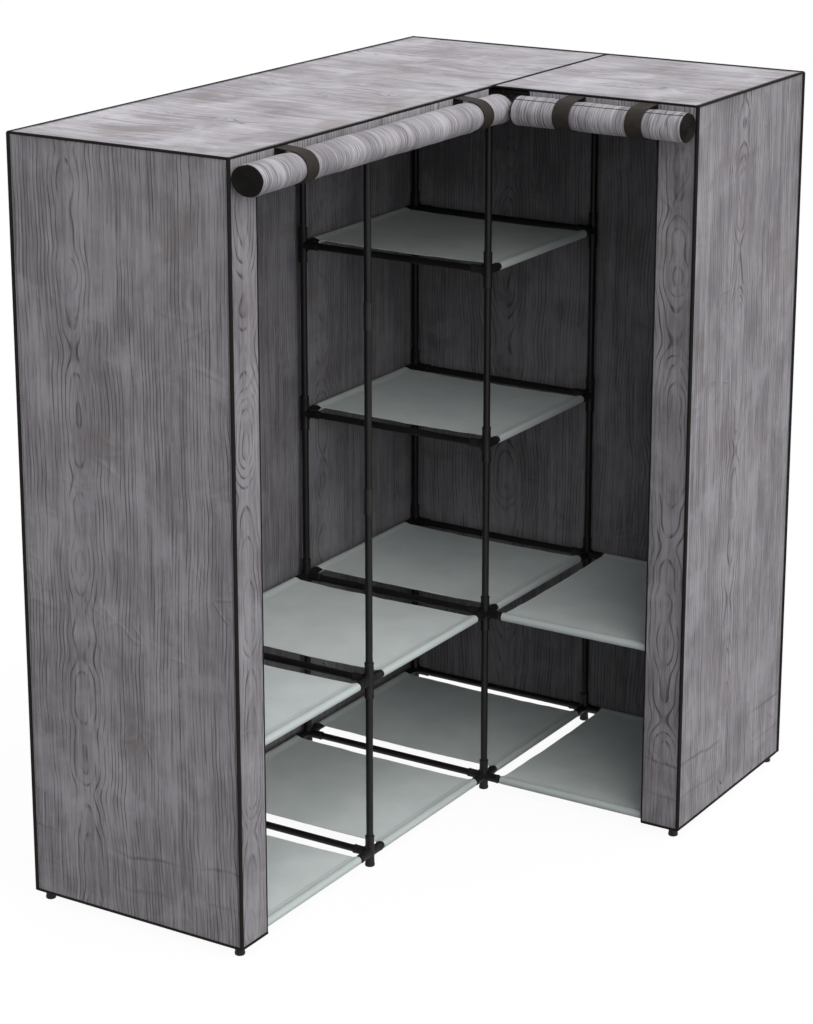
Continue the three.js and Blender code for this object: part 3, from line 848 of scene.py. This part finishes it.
def printed_cloth(name, coordinates=Finish.on_cloth, shade=1.0, line_strength=0.7, folded=1.0,
                  hem_fold=False, ring_spacing=0.0088, deep=(146, 141, 147)):
    """Wood-print cloth. coordinates gives (across the grain, along it, which stretch of the print)."""
    cloth = Finish(name)
    place = coordinates(cloth)
    shown = cloth.using(grain, {
        "Coordinates": place, "Line Strength": line_strength, "Ring Spacing": ring_spacing,
        "Pale": rgb(194, 190, 195, shade), "Deep": rgb(*deep, shade),
        "Line": rgb(70, 66, 70, shade)})["Color"]
    weave = cloth.using(nonwoven, {"Coordinates": place, "Pitch": 0.0022})
    marks = cloth.using(folds, {"Coordinates": place})
    # Pale patches and pale crease lines are partly rubbed print and partly painted highlights on the
    # crumples; the brownish patches darken the print in places.
    for share, colour in (
            (cloth.spread(marks["Patch"], 0.52, 0.68, 0.0, 0.34 * folded), (206, 203, 208)),
            (cloth.spread(marks["Patch"], 0.46, 0.34, 0.0, 0.3 * folded), (134, 123, 117)),
            (cloth.times(marks["Rubbed And Highlit"], 0.09 * folded), (214, 212, 215))):
        shown = cloth.blend(share, shown, rgb(*colour, shade))
    height = marks["Height"]
    if hem_fold:
        at = cloth.node("ShaderNodeSeparateXYZ", {0: cloth.on_cloth("panel")})
        along = cloth.node("ShaderNodeCombineXYZ", {"X": at[0]})[0]

        def waved(scale, detail, reach):
            stretched = cloth.node("ShaderNodeVectorMath", {0: along, 1: (scale, 1, 1)},
                                   operation="MULTIPLY")[0]
            return swing(cloth, cloth.noise(stretched, 1.0, detail), reach)
        for level, reach, strength in hem_creases:
            away = cloth.minus(at[1], cloth.plus(waved(3.4, 1.0, reach), waved(15, 2.0, 0.024), level))
            crease = cloth.spread(cloth.maths("ABSOLUTE", away), 0.0, 0.006, 1.0, 0.0)
            broken = cloth.times(cloth.spread(cloth.noise(along, 19.0, 2.0), 0.36, 0.52, 0.4, 0.9),
                                 cloth.spread(cloth.noise(along, 4.2, 0.0), 0.42, 0.55, 0.1, 1.0))
            # Painted shade: a dark broken line along each hem crease, beside its relief.
            shown = cloth.blend(cloth.times(crease, cloth.times(broken, strength)), shown,
                                rgb(96, 90, 91, shade))
            height = cloth.plus(height, cloth.spread(away, -0.02, 0.02, 0.4 * strength, 0.0))
    return cloth.coat(
        cloth.blend(cloth.spread(weave["Fibre"], 0.3, 0.75, 0.0, 0.1), shown, rgb(205, 203, 207, shade)),
        cloth.spread(weave["Fibre"], 0.3, 0.7, 0.82, 0.93),
        cloth.bump(weave["Height"], 0.3, 0.0003, Normal=cloth.bump(height, min(1, 0.8 * folded), 0.009)),
        specular=0.12, sheen=0.03)


# The walls and strips take darker copies of the top's print: painted shade for faces that get less light than
# the top, with the strips a little darker still for the roll's shade over them.
wall_fabric_painted_shade = printed_cloth("cover_wall_fabric", shade=0.59, line_strength=0.85, hem_fold=True)
strip_fabric_painted_shade = printed_cloth("cover_strip_fabric", shade=0.55, line_strength=0.85, hem_fold=True)
top_fabric = printed_cloth("cover_top_fabric", shade=0.97, line_strength=0.6, folded=1.5)
# The cover's inner faces take a darker copy of the same print: painted shade for the dim inside.
cover_lining = printed_cloth("cover_lining", shade=0.405)


def creases(u, v, seed):
    """The height of the soft creases and hills in the cloth, in metres."""
    height = 0.0014 * soft_noise(u, v, 0.19, 0.26, seed) + 0.0008 * soft_noise(u, v, 0.08, 0.11, seed + 1)
    for step, (turn, cell, depth) in enumerate(slant_creases):
        cos, sin = math.cos(math.radians(turn)), math.sin(math.radians(turn))
        a, b = u * cos + v * sin, v * cos - u * sin
        ridge = 1 - np.abs(soft_noise(a, b, cell, cell * 3.5, seed + 10 + step)) ** 0.6
        patch = np.clip(0.25 + soft_noise(a, b, 0.3, 0.4, seed + 20 + step), 0, 1)
        height += depth * ridge * patch
    return height


def eased(share):
    """0 to 1 with soft ends."""
    share = np.clip(share, 0, 1)
    return share * share * (3 - 2 * share)


def top_sag(x, y):
    """How far a top hangs below its edges: not at all on a connector or clip, a little over the top tubes,
    and most between them."""
    knots = [*posts.values(), (3, 0.5), (2, 0.5), (1, 0.5), (0.5, 1), (0.5, 2)]
    from_knot = np.minimum.reduce([np.hypot(x - post_x(a), y - post_y(b)) for a, b in knots])
    rail = np.where(y > left_front_y, np.abs(y - post_y(0.5)), np.abs(x - post_x(0.5)))
    from_line = np.minimum.reduce([*[np.abs(x - post_x(a)) for a in range(4)],
                                   *[np.abs(y - post_y(b)) for b in range(3)], rail])
    return 0.0018 * eased((from_knot - 0.03) / 0.06) + 0.0026 * eased((from_line - 0.012) / 0.108)


def cover_panel(name, origin, ways, width, height, column, seed, fabric=wall_fabric_painted_shade, bulge=0.0012,
                drape=0.0006):
    """A panel whose outer face starts at origin and spans width and height along the first two ways, with
    the third pointing out. column is where across the grain the print's arches run, and drape how deep its
    long upright folds are. A top hangs between the tubes in place of bulging."""
    on_top = fabric is top_fabric
    columns, rows = int(width / cover_cell) + 2, int(height / cover_cell) + 2
    v, u = np.meshgrid(np.linspace(0, height, rows), np.linspace(0, width, columns), indexing="ij")
    fade = eased(np.minimum.reduce([u, width - u, v, height - v]) / edge_fade)
    u_way, v_way, out_way = (np.array(way, float) for way in ways)
    points = np.array(origin) + u[..., None] * u_way + v[..., None] * v_way
    if on_top:
        depth = top_sag(points[..., 0], points[..., 1])
        hills = np.maximum(creases(u, v, seed) - 0.0012, -0.0008) * np.clip(depth / 0.002, 0, 1)
        lift = fade * (hills - depth)
    else:
        hung = drape * soft_noise(u, v + 0.3 * u, 0.15, 1.1, seed + 50)
        hung *= np.clip(1.25 - 0.75 * v / height, 0, 1)
        lift = fade * (creases(u, v, seed) - 0.0008 + hung)
        lift += bulge * np.sin(math.pi * u / width) * np.sin(math.pi * v / height)
    points = points + lift[..., None] * out_way
    flat = np.stack([u - column, v + seed * 3.7], -1)
    panel = np.stack([u + seed * 3.7, v + 5 * on_top], -1)
    if np.dot(np.cross(u_way, v_way), out_way) < 0:
        points, flat, panel = points[:, ::-1], flat[:, ::-1], panel[:, ::-1]
    return fixed(cloth_sheet(name + "_cloth", points, cover_cloth, [fabric, cover_lining], -1.0,
                             flat=flat, panel=panel), name)


wall_top = overall_height - cloth_lap
wall_height = wall_top - hem_height
end_width = wing_depth - cloth_lap
narrow = strip_width - cloth_lap
to_left, to_right, to_front, to_back, to_top = (-1, 0, 0), (1, 0, 0), (0, -1, 0), (0, 1, 0), (0, 0, 1)
panels = {name: cover_panel(name, *layout) for name, *layout in (
    ("left_top_panel", (x_left, left_front_y, overall_height), (to_right, to_back, to_top),
     2 * x_right, wing_depth, 0.35, 3, top_fabric),
    ("right_top_panel", (right_front_x, y_front, overall_height), (to_right, to_back, to_top),
     wing_depth, left_front_y - y_front - cloth_gap, 0.2, 5, top_fabric),
    ("left_back_wall", (x_left, y_back, hem_height), (to_right, to_top, to_back),
     2 * x_right, wall_height, 0.19, 7, wall_fabric_painted_shade, 0.0012, 0.0035),
    ("right_back_wall", (x_right, y_front, hem_height), (to_back, to_top, to_right),
     2 * y_back - cloth_lap, wall_height, 0.3, 11, wall_fabric_painted_shade, 0.0012, 0.0035),
    ("left_end_panel", (x_left, y_back - cloth_lap, hem_height), (to_front, to_top, to_left),
     end_width, wall_height, 0.148, 13),
    ("right_end_panel", (right_front_x, y_front, hem_height), (to_right, to_top, to_front),
     end_width, wall_height, 0.235, 17),
    ("left_front_strip", (x_left + cloth_lap, left_front_y, hem_height), (to_right, to_top, to_front),
     narrow, wall_height, 0.04, 19, strip_fabric_painted_shade, 0.0005),
    ("right_front_strip", (right_front_x, y_front + strip_width, hem_height), (to_front, to_top, to_left),
     narrow, wall_height, 0.055, 23, strip_fabric_painted_shade, 0.0005))}


# ---------------------------------------------------------------- Piping, binding and seams
# The cover's edges are bound in black tape: rounded piping down the corners and round the top, a thinner
# binding on the hems and on the strips' free edges, and rows of black stitches round the top and down four
# corners.
corner_pipe = 0.0043
edge_pipe = 0.0030
opening_pipe = 0.0023
strip_pipe = 0.0022
pipe_sunk = 0.0008
seam_inset = 0.0075
seam_proud = 0.0002
seam_end_in = 0.008
z_low, z_high = hem_height, overall_height - pipe_sunk


def trim_finish():
    """Ribbed black tape with a little dust on it."""
    finish = Finish("black_trim_tape")
    place = finish.place()
    rib = finish.node("ShaderNodeTexWave", {
        "Vector": place, "Scale": 420.0, "Distortion": 1.5, "Detail": 1.0},
        bands_direction="DIAGONAL")["Fac"]
    dust = finish.noise(place, 40.0, 4.0, 0.65)
    tone = finish.blend(finish.spread(dust, 0.35, 0.7), rgb(20, 20, 18), rgb(31, 30, 28))
    return finish.coat(
        finish.blend(finish.times(rib, 0.3), tone, rgb(42, 41, 38)),
        finish.spread(dust, 0.3, 0.7, 0.68, 0.82), finish.bump(rib, 0.5, 0.0003), specular=0.1)


trim_tape = trim_finish()


def finely(points, step):
    """The path with extra points along its straight runs."""
    points = [np.array(point, float) for point in points]
    out = points[:1]
    for start, end in zip(points, points[1:]):
        count = max(1, int(np.linalg.norm(end - start) / step))
        out += [start + (end - start) * i / count for i in range(1, count + 1)]
    return out


def level_path(z, *corners):
    return [(*corner, z) for corner in corners]


def upright(x, y, low=z_low, high=z_high):
    return [(x, y, low), (x, y, high)]


# The corners of the plan, from the left wing's front round the back to the inner corner
left_front, left_back, back = (x_left, left_front_y), (x_left, y_back), (x_right, y_back)
right_back, right_front = (x_right, y_front), (right_front_x, y_front)
inner = (right_front_x, left_front_y)
strip_ends = (x_left + strip_width, left_front_y), (right_front_x, y_front + strip_width)
trims = {
    "left_back_corner_piping": (upright(*left_back), corner_pipe),
    "left_front_corner_piping": (upright(*left_front), corner_pipe),
    "right_front_corner_piping": (upright(*right_front), corner_pipe),
    "right_back_corner_piping": (upright(*right_back), corner_pipe),
    "back_corner_piping": (upright(*back), corner_pipe),
    "top_edge_piping": (level_path(z_high, left_front, left_back, back, right_back, right_front), edge_pipe),
    "opening_edge_piping": (level_path(z_high, left_front, inner, right_front), opening_pipe),
    "top_seam_piping": (level_path(z_high + 0.0004, inner, (x_right, left_front_y)), edge_pipe),
    "bottom_hem_binding": (level_path(z_low, strip_ends[0], left_front, left_back, back, right_back,
                                      right_front, strip_ends[1]), edge_pipe),
    "left_strip_binding": (upright(x_left + strip_width, left_front_y + pipe_sunk, z_low, wall_top),
                           strip_pipe),
    "right_strip_binding": (upright(right_front_x + pipe_sunk, y_front + strip_width, z_low, wall_top),
                            strip_pipe)}
for trim_name, (path, radius) in trims.items():
    fixed(tubes(trim_name, [finely(path, 0.04)], trim_tape, radius, 12, crisp=50))

seam_rows = [level_path(overall_height + seam_proud, *(
    (x + way_x * seam_inset, y + way_y * seam_inset) for (x, y), way_x, way_y in (
        (left_front, 1, 1), (left_back, 1, -1), (back, -1, -1), (right_back, -1, 1),
        (right_front, 1, 1), (inner, 1, 1), (left_front, 1, 1))))]
seam_rows += [upright(x, y, z_low + seam_end_in, wall_top - seam_end_in) for x, y in (
    (x_left - seam_proud, left_front_y + seam_inset), (x_left - seam_proud, y_back - seam_inset),
    (right_front_x + seam_inset, y_front - seam_proud), (x_right - seam_inset, y_front - seam_proud))]
fixed(stitches("cover_stitches", [finely(row, 0.02) for row in seam_rows], black_thread,
               0.0055, 0.0038, 0.00045))

# How each panel is held: its size when cut, what it rests on, and the trim that is sewn to it. Nothing is
# done with this table.
for name, held, flat_size, rests_on, sewn_on in (
        ("left_top_panel", "stretched", (2 * x_right, wing_depth),
         ["top_back_rail_steel", "top_front_rail_steel"],
         ["top_edge_piping", "opening_edge_piping", "top_seam_piping", "cover_stitches"]),
        ("right_top_panel", "stretched", (wing_depth, left_front_y - y_front), ["top_right_frame_steel"], []),
        ("left_back_wall", "hung", (2 * x_right, wall_height), ["left_top_panel_cloth"], []),
        ("right_back_wall", "hung", (2 * y_back, wall_height), ["right_top_panel_cloth"],
         ["back_corner_piping"]),
        ("left_end_panel", "hung", (wing_depth, wall_height), ["left_top_panel_cloth"],
         ["left_back_corner_piping", "left_front_corner_piping", "bottom_hem_binding"]),
        ("right_end_panel", "hung", (wing_depth, wall_height), ["right_top_panel_cloth"],
         ["right_front_corner_piping", "right_back_corner_piping"]),
        ("left_front_strip", "hung", (strip_width, wall_height), ["left_top_panel_cloth"],
         ["left_strip_binding"]),
        ("right_front_strip", "hung", (strip_width, wall_height), ["right_top_panel_cloth"],
         ["right_strip_binding"])):
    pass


# ---------------------------------------------------------------- Curtain webs
# The short stretch of each front curtain that still hangs from the top seam, behind the roll. It is the same
# printed cloth, in a darker copy for painted shade, and it is drawn out as the curtain is let down.
curtain_cloth = 0.0012
roll_z = 1.650
web_top = 1.6862
web_rows = 40
web_cell = 0.012
side_binding = 0.0011
left_length = 2 * x_right - wing_depth
right_length = 2 * y_back - wing_depth
inner_corner = np.array((*inner, 0.0))
# Each front by its direction, its outward side, and its places along that direction from the inner corner
fronts = {
    "left": {"along": np.array(to_right, float), "out": np.array(to_front, float),
             "web": (-left_length, -0.018), "roll": (-left_length, -0.042),
             "straps": (-left_length + strip_width + 0.080, -0.153)},
    "right": {"along": np.array(to_front, float), "out": np.array(to_left, float),
              "web": (0.094, right_length), "roll": (0.0878, right_length),
              "straps": (0.215, right_length - strip_width - 0.021)}}


def as_hung(across):
    """The print's place in the wardrobe's own coordinates, so that cloth let down keeps its grain."""
    def place(cloth):
        at = cloth.node("ShaderNodeSeparateXYZ", {0: cloth.place()})
        return cloth.node("ShaderNodeCombineXYZ", {"X": at[across], "Y": at[2], "Z": 0.6})[0]
    return place


for across, (side, front) in enumerate(fronts.items()):
    # The web takes a darker copy of the print than its roll does: painted shade.
    fabric = printed_cloth(side + "_curtain_fabric", as_hung(across), shade=0.7, line_strength=0.9)
    start, end = front["web"]
    columns = int((end - start) / web_cell) + 2
    v, u = np.meshgrid(np.linspace(roll_z, web_top, web_rows), np.linspace(start, end, columns),
                       indexing="ij")
    wave = 0.00025 * soft_noise(u, v, 0.05, 0.05, 31) * (web_top - v) / (web_top - roll_z)
    points = (inner_corner + front["along"] * u[..., None] + up * v[..., None]
              + front["out"] * (cloth_gap + curtain_cloth + wave)[..., None])
    web = cloth_sheet(side + "_curtain_web_cloth", points, curtain_cloth, [fabric], -1.0,
                      flat=np.stack([u, v], -1))
    edges = tubes(side + "_curtain_side_bindings", [[
        inner_corner + front["along"] * at + front["out"] * (cloth_gap + curtain_cloth / 2) + up * z
        for z in np.linspace(roll_z, web_top - 0.0008, web_rows)]
        for at in (start + side_binding, end - side_binding)], trim_tape, side_binding, 8, crisp=60)
    middle = inner_corner + front["along"] * (start + end) / 2
    for piece in (web, edges):
        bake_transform(piece, "wardrobe", side + "_curtain",
                 start=tuple(middle + up * web_top), end=tuple(middle + up * roll_z))
    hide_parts(side + "_curtain_web")
    end - start


# ---------------------------------------------------------------- Curtain rolls
# Each curtain is wound up from its hem into a roll that hangs slightly oval. Its side edges are bound in
# black, so that the ends of the roll show a dark spiral. The straps pull the cloth in.
roll_half_height = 0.0335
roll_half_depth = 0.040
roll_depth = cloth_gap + curtain_cloth + cloth_gap + roll_half_depth
roll_turns = 9
roll_sides = 72
roll_cell = 0.008
skin_in = 0.0012
strap_width = 0.040
strap_pinch = 0.0013
strap_pinch_behind = 0.0016
end_inset = 0.0022
end_rounding = 0.0018
end_steps = np.array((0, 0.0004, 0.0011, 0.002, 0.0032, 0.005, 0.0075, 0.0105))
edge_binding_shown = 0.0012
dark_line_angle = 61
roll_fabric = printed_cloth("rolled_curtain_fabric", shade=0.86, line_strength=1.0, folded=0.3,
                            ring_spacing=0.0062, deep=(120, 116, 122))


def roll_points(front, u, angle, share):
    """Points of the roll: u along it, angle round it from the back over the top, share of its full size."""
    out = roll_depth + share * roll_half_depth * np.cos(angle)
    high = roll_z + share * roll_half_height * np.sin(angle)
    return (inner_corner + front["along"] * u[..., None] + front["out"] * out[..., None]
            + up * high[..., None])


turn = np.linspace(-math.pi, math.pi, roll_sides + 1)
for number, (side, front) in enumerate(fronts.items()):
    start, end = front["roll"]
    first, last = start + end_inset + end_steps, end - end_inset - end_steps[::-1]
    middle = np.linspace(first[-1], last[0], int((last[0] - first[-1]) / roll_cell))[1:-1]
    place = np.concatenate([first, middle, last])
    u, angle = np.meshgrid(place, turn, indexing="ij")
    near = eased(np.maximum.reduce([
        1 - (np.abs(u - strap) - strap_width / 2) / 0.02 for strap in front["straps"]]))
    ends = np.clip(np.minimum(u - place[0], place[-1] - u) / end_steps[-2], 0, 1)
    behind = np.clip(-np.cos(angle), 0, 1)
    around = (angle / math.pi + 1) / 2
    wrinkle = (0.0007 * soft_noise(u, around * 9, 0.05, 1, 41 + number, wrap=9)
               + 0.0004 * soft_noise(u, around * 16, 0.017, 1, 51 + number, wrap=16)
               + 0.0006 * soft_noise(u, u * 0, 0.11, 1, 61))
    size = (roll_half_height - skin_in + wrinkle * (1 - near)
            - near * (strap_pinch + strap_pinch_behind * behind)
            - end_rounding * (1 - np.sqrt(1 - (1 - ends) ** 2)))
    skin = roll_points(front, u, angle, size / roll_half_height)
    mesh = grid_mesh(side + "_curtain_roll_cloth", skin,
                     flat=np.stack([u, angle * roll_half_depth + 2 * number], -1))
    work = bmesh.new()
    work.from_mesh(mesh)
    bmesh.ops.remove_doubles(work, verts=work.verts, dist=1e-6)
    bmesh.ops.holes_fill(work, edges=[e for e in work.edges if e.is_boundary], sides=0)
    bmesh.ops.recalc_face_normals(work, faces=work.faces)
    for face in work.faces:
        at = (np.array(face.calc_center_median()) - inner_corner) @ front["along"]
        face.material_index = int(min(at - place[0], place[-1] - at) < edge_binding_shown)
    work.to_mesh(mesh)
    work.free()
    roll = smooth_but(new_object(side + "_curtain_roll_cloth", mesh, roll_fabric, trim_tape), 50)
    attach(roll, side + "_roll")
    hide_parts(side + "_curtain_roll")

    spiral = np.linspace(0.5 * math.pi, (2 * roll_turns + 0.5) * math.pi, roll_turns * 40)
    grow = 0.03 + 0.895 * (spiral - spiral[0]) / (spiral[-1] - spiral[0])
    binding = tubes(side + "_roll_edge_binding", [
        roll_points(front, np.full_like(spiral, at), spiral, grow)
        for at in (start + end_inset, end - end_inset)], trim_tape, 0.0021, 8, 0.7, 60)
    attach(binding, side + "_roll")

# A thin line of black tape runs along the right roll, high on its front
dark_line_row = np.argmin(np.abs(turn - math.radians(dark_line_angle)))
roll_dark_line = tubes("right_roll_dark_line", [skin[1:-1, dark_line_row]], trim_tape, 0.0009, 8, crisp=60)
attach(roll_dark_line, "right_roll")


# ---------------------------------------------------------------- Roll straps
# Four bands of dark olive-black webbing, sewn into the top seam. Each comes down over the front of the
# roll, turns under it and goes back up between the roll and the hanging cloth.
strap_thickness = 0.0016
strap_bite = 0.001
strap_low_point = 0.024
strap_back = 0.0027
strap_steps = 44
squashed_against = 0.0018


def strap_finish():
    """Slanting ribs of webbing, clouded by wear."""
    finish = Finish("strap_webbing")
    place = finish.on_cloth()
    at = finish.node("ShaderNodeSeparateXYZ", {0: place})
    rib = finish.maths("SINE", finish.times(finish.plus(at[0], finish.times(at[1], 0.6)), 4200.0))
    cloud = finish.noise(place, 60.0, 4.0, 0.6)
    tone = finish.blend(finish.spread(cloud, 0.3, 0.7), rgb(41, 36, 33), rgb(54, 48, 44))
    return finish.coat(
        finish.blend(finish.spread(rib, -1, 1, 0.0, 0.3), tone, rgb(25, 23, 20)),
        finish.spread(cloud, 0.3, 0.7, 0.62, 0.78), finish.bump(rib, 0.5, 0.0003), specular=0.15)


strap_webbing = strap_finish()


def strap_line():
    """The middle of the strap, as (depth behind the front plane, height), from the seam over the roll's
    front and back up to the seam."""
    half_z = roll_half_height - strap_bite + cloth_gap + strap_thickness / 2
    half_y = ((roll_half_height - strap_bite) * roll_half_depth / roll_half_height
              + cloth_gap + strap_thickness / 2)
    high, low = web_top + 0.0006, roll_z - strap_low_point
    sewn_at = (-strap_back - strap_thickness, high)

    def touches(depth, height, way):
        """The angle at which a line from a point touches the strap's oval."""
        p, q = (depth + roll_depth) / half_y, (height - roll_z) / half_z
        return math.atan2(q, p) + way * math.acos(1 / math.hypot(p, q))
    turns = np.linspace(touches(*sewn_at, 1), touches(-strap_back, low, -1) + 2 * math.pi, strap_steps)
    over = [(-roll_depth + half_y * math.cos(t), roll_z + half_z * math.sin(t)) for t in turns]
    behind = [(-strap_back, low + (high - low) * t) for t in np.linspace(0, 1, 9)]
    return np.array([sewn_at, *over, *behind])


line = strap_line()
run, across = np.meshgrid(lengths_along(line), np.linspace(-strap_width / 2, strap_width / 2, 7),
                          indexing="ij")
for side, front in fronts.items():
    for number, centre in enumerate(front["straps"], 1):
        name = f"{side}_strap_{number}"
        points = (inner_corner + front["along"] * (centre + across)[..., None]
                  - front["out"] * line[:, None, None, 0] + up * line[:, None, None, 1])
        flat = np.stack([across, run], -1)
        if side == "left":
            points, flat = points[:, ::-1], flat[:, ::-1]
        strap = fixed(cloth_sheet(name + "_webbing", points, strap_thickness, [strap_webbing], 0.0,
                                  flat=flat), name)
        side + "_curtain_drop"
        tuple(inner_corner + front["out"] * squashed_against)
        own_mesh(strap)
